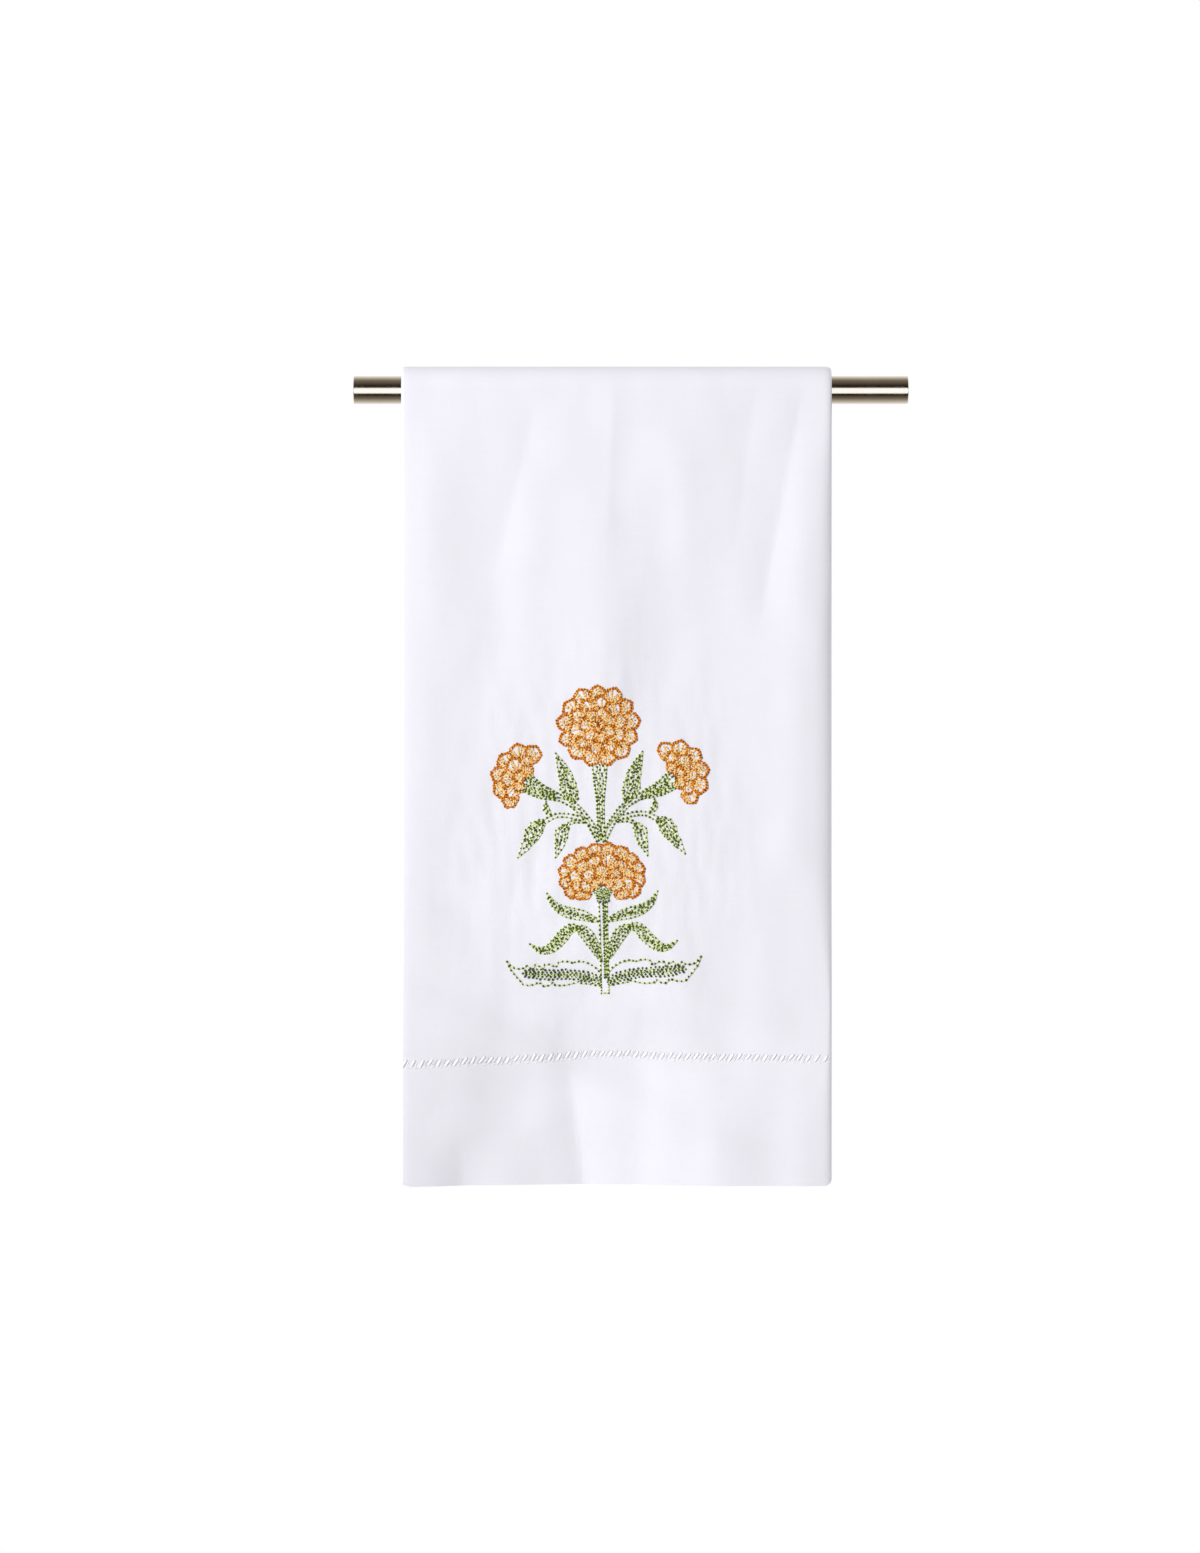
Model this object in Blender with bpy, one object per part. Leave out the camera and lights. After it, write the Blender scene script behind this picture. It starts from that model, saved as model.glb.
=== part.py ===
"""A hand towel, folded lengthwise in three and hung at its middle over a plain round bar.

The cloth starts as a flat sheet.  Its two long edges are turned behind its face, one flap over
the other, and the folded towel is hung over the bar, so that one half falls in front and the
other behind.  X runs along the bar, -Y is the front and +Z is up.  The origin is the centre of
the bar's left end.  All lengths are in metres.
"""
from collections import namedtuple
from math import cos, exp, hypot, pi, radians, sin, sqrt

import bmesh
import bpy
from mathutils import Matrix, Vector

MM = 0.001

# The bar.
BAR_RADIUS = 5.75 * MM
BAR_LENGTH = 230 * MM
BAR_CHAMFER = 0.5 * MM
BAR_SIDES = 48
BARE_LEFT = 20 * MM          # bar left of the towel

# The cloth as it is cut, folded and hung.
CUT_WIDTH = 457 * MM
FACE_WIDTH = 178 * MM
LAYER = 1.0 * MM             # thickness of one layer
LAYER_GAP = 0.3 * MM         # air between two layers
BAR_GAP = 0.3 * MM           # air between the bar and the innermost layer
FRONT_DROP = 329.6 * MM      # from the bar's axis to the front hem's edge
BACK_DROP = 323.6 * MM
HEM_DEPTH = 52 * MM
CORNER_RADIUS = 3.2 * MM     # of the folded towel's lower corners
FLAP_LIFT = 1.0 * MM         # how much higher each turned flap ends than the face
TOWEL_X = BARE_LEFT + FACE_WIDTH / 2

# Depths of the three layers' middles, measured outwards from the innermost surface.
INNER_FLAP = LAYER / 2
MIDDLE_FLAP = INNER_FLAP + LAYER + LAYER_GAP
FACE = MIDDLE_FLAP + LAYER + LAYER_GAP
REST_RADIUS = BAR_RADIUS + BAR_GAP

# How the two turned edges round over, in millimetres: at a few heights, how far they reach
# inwards and how far their backs sink behind their place on the bar.
Roll = namedtuple("Roll", "z reach sink_front sink_back")
RIGHT_ROLL = (
    Roll(-10, 2.6, 0.0, 0.0),
    Roll(-60, 4.8, 1.2, 1.0),
    Roll(-120, 7.0, 3.0, 2.6),
    Roll(-200, 6.6, 2.4, 2.4),
    Roll(-256, 1.2, 0.2, 1.4),
    Roll(-306, 3.2, 0.7, 1.2),
)
LEFT_ROLL = (
    Roll(-10, 2.4, 0.0, 0.0),
    Roll(-100, 1.5, 0.4, 1.0),
    Roll(-235, 1.5, 0.4, 1.0),
    Roll(-285, 0.8, 0.0, 0.8),
)
SUNK_BY = 6 * MM             # from the towel's side, where a flap has sunk all the way

# The grid of the cloth, in stations across the towel and rows along it.
FREE_EDGE = CUT_WIDTH / 2 - FACE_WIDTH     # of each flap, past the towel's middle
EDGE_STATION = 5             # stations from the middle to a flap's free edge
LAST_STATION = 8             # stations from the middle to where a turned edge begins
STATION = FREE_EDGE / EDGE_STATION
TURN_ANGLES = (-90, -45, 0, 45, 90)
ARC_STEP = 18                # degrees, over the bar
HEM_ROWS = 4
FRONT_ROWS = 15
BACK_ROWS = 9
BAR_ROW = 8 * MM             # a row just under the bar, where the folds begin

# Folds that hang in the cloth, as lines on the towel seen from its own side: x from its middle
# and z from the bar's axis at both ends, the half width, and the height there (a trough is
# negative).
Fold = namedtuple("Fold", "x_top z_top x_low z_low width rise_top rise_low")
FRONT_FOLDS = (
    Fold(-76, -8, -78, -230, 12, 0.8, 0.8),
    Fold(-52, -35, -50, -105, 11, -0.7, -0.8),
    Fold(4, -8, 4, -55, 9, -0.6, -0.7),
    Fold(27, -15, 28, -60, 9, 0.6, 0.6),
    Fold(-6, -60, -6, -125, 12, 0.7, 1.2),
    Fold(20, -60, 16, -125, 12, -0.8, -0.8),
    Fold(40, -98, 42, -140, 18, -1.3, -1.0),
    Fold(79, -30, 74, -190, 10, 0.9, 0.9),
    Fold(-87, -130, -90, -215, 13, 0.8, 1.4),
    Fold(27, -245, 28, -268, 9, 0.5, 0.5),
    Fold(46, -240, 46, -268, 10, -0.7, -0.8),
    Fold(-100, -262, -100, -345, 24, 1.8, 2.2),
    Fold(-46, -272, -46, -304, 15, -2.0, -1.9),
    Fold(-64, -316, -64, -345, 7, -0.4, -0.5),
    Fold(9, -285, 9, -345, 10, -0.9, -1.0),
    Fold(42, -288, 42, -330, 20, 0.9, 0.9),
    Fold(78, -285, 78, -345, 9, 0.7, 0.8),
    Fold(0, -200, 0, -330, 300, 0.0, 1.8),
)
BACK_FOLDS = (
    Fold(-58, -30, -48, -150, 15, -1.2, -1.4),
    Fold(-16, -24, -10, -170, 14, 1.4, 1.2),
    Fold(22, -40, 16, -140, 12, -1.4, -1.2),
    Fold(54, -30, 62, -210, 16, 1.2, 1.4),
    Fold(-62, -230, -60, -340, 14, 1.4, 2.6),
    Fold(-26, -240, -24, -340, 13, -0.8, -1.0),
    Fold(18, -220, 20, -340, 17, 1.2, 2.4),
    Fold(58, -250, 56, -340, 13, -1.2, -2.6),
)

# Creases pulled into the front, as lines like the folds': the widths of their left and right
# flanks, how round the line itself is, and its height.
Crease = namedtuple("Crease", "x_top z_top x_low z_low left right round rise")
FRONT_CREASES = (
    Crease(58, 8, 48, -78, 12, 18, 0.8, -0.8),
    Crease(79, 10, 57, -108, 8, 10, 0.8, -1.1),
    Crease(-3, -232, -27, -282, 48, 60, 2.0, -4.2),
    Crease(-23.5, -256, -4, -400, 46, 50, 5.0, -7.4),
    Crease(-62, -306, -57, -376, 11, 90, 7.0, -3.4),
    Crease(-31, -302, -27, -376, 10, 90, 4.0, -1.3),
    Crease(41, -285, 40, -400, 24, 24, 4.0, 1.8),
)
FOLDS_START = 8 * MM         # below the bar's axis; above it the bar holds the cloth flat
FOLDS_GROW = 24 * MM
FOLD_FADE = 1.3              # of its width, past its ends

Place = namedtuple("Place", "side z angle")


def remove_all_objects():
    for item in list(bpy.data.objects):
        bpy.data.objects.remove(item, do_unlink=True)


def ease(value):
    """Smooth step from 0 to 1, flat outside that range."""
    t = min(max(value, 0.0), 1.0)
    return t * t * (3 - 2 * t)


def material(name, colour, roughness, metallic):
    made = bpy.data.materials.new(name)
    made.use_nodes = True
    shader = made.node_tree.nodes["Principled BSDF"]
    shader.inputs["Base Color"].default_value = (*colour, 1)
    shader.inputs["Roughness"].default_value = roughness
    shader.inputs["Metallic"].default_value = metallic
    return made


def add_object(name, bm, surface, smooth_angle):
    bmesh.ops.recalc_face_normals(bm, faces=bm.faces)
    if bm.calc_volume(signed=True) < 0:
        bmesh.ops.reverse_faces(bm, faces=bm.faces)
    mesh = bpy.data.meshes.new(name)
    bm.to_mesh(mesh)
    bm.free()
    mesh.shade_smooth()
    mesh.set_sharp_from_angle(angle=radians(smooth_angle))
    mesh.materials.append(surface)
    made = bpy.data.objects.new(name, mesh)
    bpy.context.collection.objects.link(made)
    return made


# ---------------------------------------------------------------- the cloth's folded section

def flap_points(stations, depth, roll_side, sink):
    """One turned flap, whose right side looks to the wall.  It sinks towards its own roll."""
    points = []
    for station in stations:
        x = station * STATION
        past_other_flap = roll_side * x - FREE_EDGE
        level = depth - sink * ease(past_other_flap / (FACE_WIDTH / 2 - FREE_EDGE - SUNK_BY))
        points.append(((x, level - LAYER / 2), (x, level + LAYER / 2)))
    return points


def turn_points(roll_side, flap_depth, reach):
    """A turned edge: half an ellipse from its flap out to the face, as outer and inner points."""
    middle = (FACE + flap_depth) / 2
    half_depth = (FACE - flap_depth) / 2
    centre = FACE_WIDTH / 2 - LAYER / 2 - reach
    points = []
    for angle in TURN_ANGLES:
        pair = []
        for offset in (LAYER / 2, -LAYER / 2):
            x = roll_side * (centre + (reach + offset) * cos(radians(angle)))
            pair.append((x, middle + (half_depth + offset) * sin(radians(angle))))
        points.append(tuple(pair))
    return points


def folded_section(right_reach, right_sink, left_reach, left_sink):
    """The folded towel cut across: from the middle flap's free edge, round the right turned
    edge, over the face, round the left turned edge and back to the inner flap's free edge.
    Each point is a pair on the cloth's right side and its wrong side, as (x, depth)."""
    middle_flap = range(-EDGE_STATION, LAST_STATION + 1)
    inner_flap = range(-LAST_STATION, EDGE_STATION + 1)
    face = range(LAST_STATION, -LAST_STATION - 1, -1)
    points = flap_points(middle_flap, MIDDLE_FLAP, 1, right_sink)
    points += turn_points(1, MIDDLE_FLAP - right_sink, right_reach)
    for station in face:
        x = station * STATION
        points.append(((x, FACE + LAYER / 2), (x, FACE - LAYER / 2)))
    points += reversed(turn_points(-1, INNER_FLAP - left_sink, left_reach))
    points += flap_points(inner_flap, INNER_FLAP, -1, left_sink)
    return points


def roll_at(rolls, z):
    """A turned edge's sizes at one height, eased between those of its table."""
    for above, below in zip(rolls, rolls[1:]):
        if z >= below.z:
            share = ease((above.z - z) / (above.z - below.z))
            return Roll(*(a + (b - a) * share for a, b in zip(above, below)))
    return rolls[-1]


def section_at(place):
    """The folded section at one height: its turned edges are flat on the bar and puff below."""
    sizes = []
    for rolls in (RIGHT_ROLL, LEFT_ROLL):
        roll = roll_at(rolls, place.z / MM)
        sink = roll.sink_back if place.side == "back" else roll.sink_front
        sizes += [roll.reach * MM, sink * MM]
    return folded_section(*sizes)


# ---------------------------------------------------------------- how it hangs

def hanging_places():
    """The rows of the cloth, from the front hem's edge over the bar to the back hem's edge."""
    def fall(side, drop, body_rows):
        hem_step = HEM_DEPTH / HEM_ROWS
        body_step = (drop - HEM_DEPTH - BAR_ROW) / body_rows
        levels = [-drop + hem_step * row for row in range(HEM_ROWS)]
        levels += [-drop + HEM_DEPTH + body_step * row for row in range(body_rows + 1)]
        return [Place(side, z, 0) for z in levels + [0.0]]

    front = fall("front", FRONT_DROP, FRONT_ROWS)
    arc = [Place("bar", 0.0, radians(a)) for a in range(ARC_STEP, 180, ARC_STEP)]
    back = fall("back", BACK_DROP, BACK_ROWS)
    return front + arc + back[::-1]


def along_and_across(line, x, z):
    """Where a point lies beside a line of a table: its share along the line, millimetres past
    the line's ends, and millimetres across it, to the right as one looks at the towel."""
    run_x = line.x_low - line.x_top
    run_z = line.z_low - line.z_top
    length = hypot(run_x, run_z)
    along = ((x - line.x_top) * run_x + (z - line.z_top) * run_z) / length
    across = ((z - line.z_top) * run_x - (x - line.x_top) * run_z) / length
    share = min(max(along / length, 0.0), 1.0)
    return share, max(-along, along - length, 0.0), across


def fold_height(fold, x, z):
    share, beyond, across = along_and_across(fold, x, z)
    fade = exp(-(beyond / (FOLD_FADE * fold.width)) ** 2)
    rise = fold.rise_top + (fold.rise_low - fold.rise_top) * share
    return rise * fade * exp(-(across / fold.width) ** 2)


def crease_height(crease, x, z):
    """A pulled line: pointed across, fading in and out along its length."""
    share, beyond, across = along_and_across(crease, x, z)
    width = crease.right if across > 0 else crease.left
    flank = (hypot(across, crease.round) - crease.round) / width
    return crease.rise * exp(-flank) * ease(4 * share) * ease(4 - 4 * share) * exp(-beyond)


def relief(folds, creases, x, z):
    """How far the cloth stands out from its plain hanging place."""
    total = sum(fold_height(fold, x / MM, z / MM) for fold in folds)
    total += sum(crease_height(crease, x / MM, z / MM) for crease in creases)
    return total * MM * ease((-z - FOLDS_START) / FOLDS_GROW)


def corner_lift(x):
    """How far the towel's lower edge rises into its rounded corner."""
    into_corner = max(abs(x) - (FACE_WIDTH / 2 - CORNER_RADIUS), 0.0)
    return CORNER_RADIUS - sqrt(max(CORNER_RADIUS ** 2 - into_corner ** 2, 0.0))


def hang(place, x, depth):
    """A point of the folded section, hung over the bar."""
    radius = REST_RADIUS + depth
    if place.side == "bar":
        return Vector((TOWEL_X + x, -radius * cos(place.angle), radius * sin(place.angle)))
    z = place.z
    drop = FRONT_DROP if place.side == "front" else BACK_DROP
    if z == -drop:
        lift_share = (FACE - depth) / (FACE - MIDDLE_FLAP)
        z += max(corner_lift(x), FLAP_LIFT * min(max(lift_share, 0.0), 1.0))
    if place.side == "front":
        return Vector((TOWEL_X + x, -radius - relief(FRONT_FOLDS, FRONT_CREASES, x, z), z))
    return Vector((TOWEL_X + x, radius + relief(BACK_FOLDS, (), x, z), z))


# ---------------------------------------------------------------- the two pieces

def flat_sheet(columns, rows):
    """A sheet with one vertex a column and row at whole numbers, and z 0 or 1 for its sides."""
    bm = bmesh.new()
    spread = Matrix.Diagonal((columns - 1, rows - 1, 1, 1)) @ Matrix.Translation((0.5, 0.5, 0))
    bmesh.ops.create_grid(bm, x_segments=columns - 1, y_segments=rows - 1, size=0.5,
                          matrix=spread)
    second_side = bmesh.ops.extrude_face_region(bm, geom=bm.faces[:])
    moved = [item for item in second_side["geom"] if isinstance(item, bmesh.types.BMVert)]
    bmesh.ops.translate(bm, verts=moved, vec=(0, 0, 1))
    return bm


def split_quads(bm, face_columns):
    """Splits each four-sided face of the flat sheet, the other way on the towel's face than on
    the flaps, so that all three layers crease along the same lines once they are folded."""
    for face in [face for face in bm.faces if len(face.verts) == 4]:
        column = face.calc_center_median().x
        lean = -1 if face_columns[0] < column < face_columns[1] else 1
        corners = sorted(face.verts, key=lambda v: lean * v.co.x + v.co.y + 0.1 * v.co.z)
        bmesh.utils.face_split(face, corners[0], corners[-1])


def build_towel():
    places = hanging_places()
    sections = [section_at(place) for place in places]
    columns = len(sections[0])
    flap_columns = EDGE_STATION + LAST_STATION + 1
    first_face = flap_columns + len(TURN_ANGLES) // 2
    bm = flat_sheet(columns, len(places))
    split_quads(bm, (first_face, columns - 1 - first_face))
    for vert in bm.verts:
        column, row, side = (round(value) for value in vert.co)
        vert.co = hang(places[row], *sections[row][column][1 - side])
    cloth = material("white linen", (0.93, 0.93, 0.96), 0.9, 0.0)
    return add_object("towel", bm, cloth, 60)


def build_bar():
    along_x = Matrix.Translation((BAR_LENGTH / 2, 0, 0)) @ Matrix.Rotation(pi / 2, 4, "Y")
    bm = bmesh.new()
    bmesh.ops.create_cone(bm, cap_ends=True, segments=BAR_SIDES, radius1=BAR_RADIUS,
                          radius2=BAR_RADIUS, depth=BAR_LENGTH, matrix=along_x)
    rims = [edge for edge in bm.edges if abs(edge.verts[0].co.x - edge.verts[1].co.x) < MM]
    bmesh.ops.bevel(bm, geom=rims, offset=BAR_CHAMFER, affect="EDGES", segments=1,
                    profile=0.5, material=-1)
    polished = material("polished nickel", (0.78, 0.74, 0.69), 0.15, 1.0)
    return add_object("bar", bm, polished, 30)


remove_all_objects()
build_bar()
build_towel()
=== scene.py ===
"""Looks of the hand towel on its bar: fine cloth, hemstitching, embroidery, metal and light.

The cloth is a thin sheet, cut flat, folded in three and hung over the bar.  Its folds are close
to those of the towel's solid.  X runs along the bar's axis, -Y is the front and +Z is up.
Lengths are in metres, and tables are in millimetres.
"""

import random
from collections import namedtuple
from math import atan2, cos, exp, hypot, pi, radians, sin, sqrt

import bmesh
import bpy
from mathutils import Matrix, Vector, noise
from mathutils.geometry import interpolate_bezier


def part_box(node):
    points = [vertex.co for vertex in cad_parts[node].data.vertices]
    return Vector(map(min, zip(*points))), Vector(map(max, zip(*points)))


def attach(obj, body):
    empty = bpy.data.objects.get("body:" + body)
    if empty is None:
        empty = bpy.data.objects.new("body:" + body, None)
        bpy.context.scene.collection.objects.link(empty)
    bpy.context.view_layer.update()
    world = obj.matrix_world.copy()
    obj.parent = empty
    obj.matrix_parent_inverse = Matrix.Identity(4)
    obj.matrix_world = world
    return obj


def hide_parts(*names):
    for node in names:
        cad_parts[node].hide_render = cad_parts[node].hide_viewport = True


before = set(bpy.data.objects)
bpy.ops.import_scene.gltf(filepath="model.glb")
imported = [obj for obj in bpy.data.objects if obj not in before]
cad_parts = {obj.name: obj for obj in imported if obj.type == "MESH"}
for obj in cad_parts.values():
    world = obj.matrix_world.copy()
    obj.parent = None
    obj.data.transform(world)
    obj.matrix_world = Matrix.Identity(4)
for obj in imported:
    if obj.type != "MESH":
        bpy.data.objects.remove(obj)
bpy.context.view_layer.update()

MM = 0.001

# ---- sizes taken from the frame
bar_low, bar_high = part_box("bar")
towel_low, towel_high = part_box("towel")
BAR_RADIUS = (bar_high.z - bar_low.z) / 2
BAR_LENGTH = bar_high.x - bar_low.x
FACE_WIDTH = towel_high.x - towel_low.x
TOWEL_X = (towel_low.x + towel_high.x) / 2
FRONT_DROP = -towel_low.z
OUTER_RADIUS = towel_high.z

# The solid's layers: their thickness, from one to the next, and the middle of each, outwards
# from where they rest.
LAYER = 1.0 * MM
LAYER_STEP = 1.3 * MM
BAR_GAP = 0.3 * MM
REST_RADIUS = BAR_RADIUS + BAR_GAP
FACE = OUTER_RADIUS - REST_RADIUS - LAYER / 2
MIDDLE_FLAP = FACE - LAYER_STEP
INNER_FLAP = MIDDLE_FLAP - LAYER_STEP

# The cloth as it is cut, folded and hung.
CUT_WIDTH = 457 * MM
BACK_DROP = FRONT_DROP - 6 * MM
DROPS = {"front": FRONT_DROP, "back": BACK_DROP}
HEM_DEPTH = 52 * MM
FREE_EDGE = CUT_WIDTH / 2 - FACE_WIDTH
CORNER_RADIUS = 3.2 * MM
FLAP_LIFT = 1.0 * MM  # how much higher a flap's hem ends than the face's
LIFT_REACH = 8 * MM  # up from the hem's edge
CLOTH = 0.5 * MM  # thickness of the linen
HEM_CLOTH = 0.85 * MM  # where it is doubled
SIDE_HEM = 5 * MM  # the narrow turned hem along the long edges
BAR_CHAMFER = 0.5 * MM

# Its turned edges, down both sides: at a few heights, how far they reach inwards, and how far
# the flap behind them sinks on each fall.
Roll = namedtuple("Roll", "z reach sink_front sink_back")
RIGHT_ROLL = (
    Roll(-10, 2.6, 0.0, 0.0),
    Roll(-60, 4.8, 1.2, 1.0),
    Roll(-120, 7.0, 3.0, 2.6),
    Roll(-200, 6.6, 2.4, 2.4),
    Roll(-256, 1.2, 0.2, 1.4),
    Roll(-306, 3.2, 0.7, 1.2),
)
LEFT_ROLL = (
    Roll(-10, 0.7, 0.0, 0.0),
    Roll(-100, 0.8, 0.4, 1.0),
    Roll(-235, 0.8, 0.4, 1.0),
    Roll(-285, 0.5, 0.0, 0.8),
)
LOOSE_BY = 10 * MM  # below the bar's axis, where every layer has the whole relief
SUNK_BY = 6 * MM  # from the towel's side, where a flap has sunk all the way

# Its folds: x from the towel's middle and z from the bar's axis at both ends, the half width,
# and the height at both ends.
Fold = namedtuple("Fold", "x_top z_top x_low z_low width rise_top rise_low")
FRONT_FOLDS = (
    Fold(-76, -8, -78, -230, 12, 0.8, 0.8),
    Fold(-52, -55, -50, -105, 11, -0.7, -0.8),
    Fold(4, -8, 4, -55, 9, -0.6, -0.7),
    Fold(27, -15, 28, -60, 9, 0.6, 0.6),
    Fold(-6, -60, -6, -125, 12, 0.7, 1.2),
    Fold(20, -60, 16, -125, 12, -0.8, -0.8),
    Fold(79, -30, 74, -190, 10, 0.9, 0.9),
    Fold(-87, -130, -90, -215, 13, 0.8, 1.4),
    Fold(-100, -262, -100, -345, 26, 1.8, 4.4),
    Fold(27, -245, 28, -268, 9, 0.5, 0.5),
    Fold(46, -240, 46, -268, 10, -0.7, -0.8),
    Fold(-46, -272, -46, -304, 15, -2.0, -1.9),
    Fold(-60, -318, -60, -345, 10, -0.8, -1.1),
    Fold(-52, -337, 25, -337, 12, -1.0, -0.7),
    Fold(9, -285, 9, -345, 10, -0.9, -1.0),
    Fold(42, -288, 42, -330, 20, 0.9, 0.9),
    Fold(78, -285, 78, -345, 9, 0.7, 0.8),
    Fold(0, -200, 0, -330, 300, 0.0, 1.8),
    Fold(40, -98, 42, -140, 18, -1.3, -1.0),
)
BACK_FOLDS = (
    Fold(-58, -30, -48, -150, 15, -1.2, -1.4),
    Fold(-16, -24, -10, -170, 14, 1.4, 1.2),
    Fold(22, -40, 16, -140, 12, -1.4, -1.2),
    Fold(54, -30, 62, -210, 16, 1.2, 1.4),
    Fold(-62, -230, -60, -340, 14, 1.4, 2.6),
    Fold(-26, -240, -24, -340, 13, -0.8, -1.0),
    Fold(18, -220, 20, -340, 17, 1.2, 2.4),
    Fold(58, -250, 56, -340, 13, -1.2, -2.6),
)
FOLDS_START = 8 * MM  # below the bar's axis
FOLDS_GROW = 24 * MM  # from there down to their full height
FOLD_FADE = 1.3  # of its width, past its ends

# Creases of the front: both ends, the left and the right flank's width, how round the line is,
# and its height.
Crease = namedtuple("Crease", "x_top z_top x_low z_low left right round rise")
CREASES = (
    Crease(-31, 4, -52, -84, 10, 4.5, 1.6, -0.5),
    Crease(-1, 6, -4, -64, 3.5, 4, 0.8, 0.3),
    Crease(58, 8, 48, -78, 12, 18, 0.8, -0.8),
    Crease(79, 10, 57, -108, 8, 10, 0.8, -0.95),
    Crease(-3, -232, -27, -282, 48, 60, 2.0, -4.2),
    Crease(-23.5, -256, -4, -400, 46, 50, 5.0, -7.4),
    Crease(-21.3, -272, -2.6, -410, 10, 8, 1.5, -1.2),
    Crease(-31, -302, -27, -376, 10, 90, 4.0, -1.3),
    Crease(41, -285, 40, -400, 24, 24, 4.0, 1.8),
    Crease(-63, -304, -63, -400, 9, 40, 3.0, -1.9),
)
CREASE_FADES = 4  # in over the first of so many parts of its length, out over the last

# Small dents: how far apart they lie across and up, their layer of the noise, and their depth.
Dents = namedtuple("Dents", "across up layer depth")
FRONT_DENTS = Dents(22, 48, 3, 0.3)
BACK_DENTS = Dents(26, 60, 9, 0.5)
CRUMPLE = Dents(14, 22, 7, 0.25)
PUCKERS = (Dents(4.5, 11, 1, 0.26), Dents(10, 18, 5, 0.4))
PUCKER_MIDDLE = Vector((-6, -187))
PUCKER_REACH = Vector((62, 78))

# ---- the cloth's grid
HEMSTITCH_PITCH = 3.55 * MM
HOLE_WIDTH = 0.14 * MM
HOLE_HEIGHT = 2.6 * MM
HOLE_LEAN = 0.6  # sideways for each upwards
TURN_STEP = 15  # degrees round a turned edge
ARC_STEP = 9  # degrees over the bar
FACE_BUNDLES = 44  # of hemstitch thread between the turned edges
WRAPPED_TURN = 3  # bundles on each turned edge
BETWEEN_HOLES = 3  # columns of cells from one hole to the next
BESIDE_HOLES = (0.35, 0.7)  # columns between the last hole and the turned edge, as shares
FACE_END = FACE_BUNDLES * HEMSTITCH_PITCH / 2 + HOLE_WIDTH / 2
FLAP_STEP = 9 * MM
FRONT_STEP = 2.5 * MM
BACK_STEP = 7 * MM

# How the hemstitch line bows up and down across the front: a middle, a half width and a rise.
Bow = namedtuple("Bow", "x width rise")
HEM_BOWS = (Bow(-88, 26, -1.4), Bow(-5, 24, 2.0), Bow(45, 60, 1.2))
BOW_REACH = 34  # up and down from the hemstitch

Place = namedtuple("Place", "side z angle")
Column = namedtuple("Column", "part at")  # an x, an angle or a share


def clamped(value):
    return min(max(value, 0.0), 1.0)


def ease(value):
    """Smooth step from 0 to 1, flat outside that range."""
    t = clamped(value)
    return t * t * (3 - 2 * t)


def spaced(start, end, step):
    """Evenly spaced values from start to end, about a step apart."""
    count = max(round(abs(end - start) / step), 1)
    return [start + (end - start) * number / count for number in range(count + 1)]


# ---- height of the cloth's folds

def along_and_across(line, x, z):
    """Where a point lies beside a line of a table: its share along the line, millimetres past
    the line's ends, and millimetres across it, to the right as one looks at the towel."""
    run_x = line.x_low - line.x_top
    run_z = line.z_low - line.z_top
    length = hypot(run_x, run_z)
    along = ((x - line.x_top) * run_x + (z - line.z_top) * run_z) / length
    across = ((z - line.z_top) * run_x - (x - line.x_top) * run_z) / length
    return clamped(along / length), max(-along, along - length, 0.0), across


def fold_height(fold, x, z):
    share, beyond, across = along_and_across(fold, x, z)
    fade = exp(-(beyond / (FOLD_FADE * fold.width)) ** 2)
    rise = fold.rise_top + (fold.rise_low - fold.rise_top) * share
    return rise * fade * exp(-(across / fold.width) ** 2)


def crease_height(crease, x, z):
    """A pressed or pulled line: pointed across, fading in and out along its length."""
    share, beyond, across = along_and_across(crease, x, z)
    width = crease.right if across > 0 else crease.left
    flank = (hypot(across, crease.round) - crease.round) / width
    part = CREASE_FADES * share
    return crease.rise * exp(-flank) * ease(part) * ease(CREASE_FADES - part) * exp(-beyond)


def dent_height(dents, x, z):
    return dents.depth * noise.noise(Vector((x / dents.across, z / dents.up, dents.layer)))


def pucker(x, z):
    """Short wrinkles that the embroidery pulls into the cloth round it."""
    across = (x - PUCKER_MIDDLE.x) / PUCKER_REACH.x
    up = (z - PUCKER_MIDDLE.y) / PUCKER_REACH.y
    near = exp(-(across ** 2 + up ** 2) ** 2)
    return near * sum(dent_height(dents, x, z) for dents in PUCKERS)


def relief(side, x, z):
    """How far the cloth stands out from its plain hanging place."""
    spot = (x / MM, z / MM)
    folds, dents = (FRONT_FOLDS, FRONT_DENTS) if side == "front" else (BACK_FOLDS, BACK_DENTS)
    total = sum(fold_height(fold, *spot) for fold in folds) + dent_height(dents, *spot)
    total *= ease((-z - FOLDS_START) / FOLDS_GROW)
    if side == "front":
        total += dent_height(CRUMPLE, *spot)
        total += sum(crease_height(crease, *spot) for crease in CREASES)
        total += pucker(*spot)
    return total * MM


# ---- the folded, hanging cloth

def hem_bow(x, z):
    """How far the front's weave is pulled up or down near the hemstitch."""
    above_stitch = (z + FRONT_DROP - HEM_DEPTH) / MM
    near = exp(-(above_stitch / BOW_REACH) ** 2)
    return near * MM * sum(rise * exp(-((x / MM - middle) / width) ** 2)
                           for middle, width, rise in HEM_BOWS)


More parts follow.
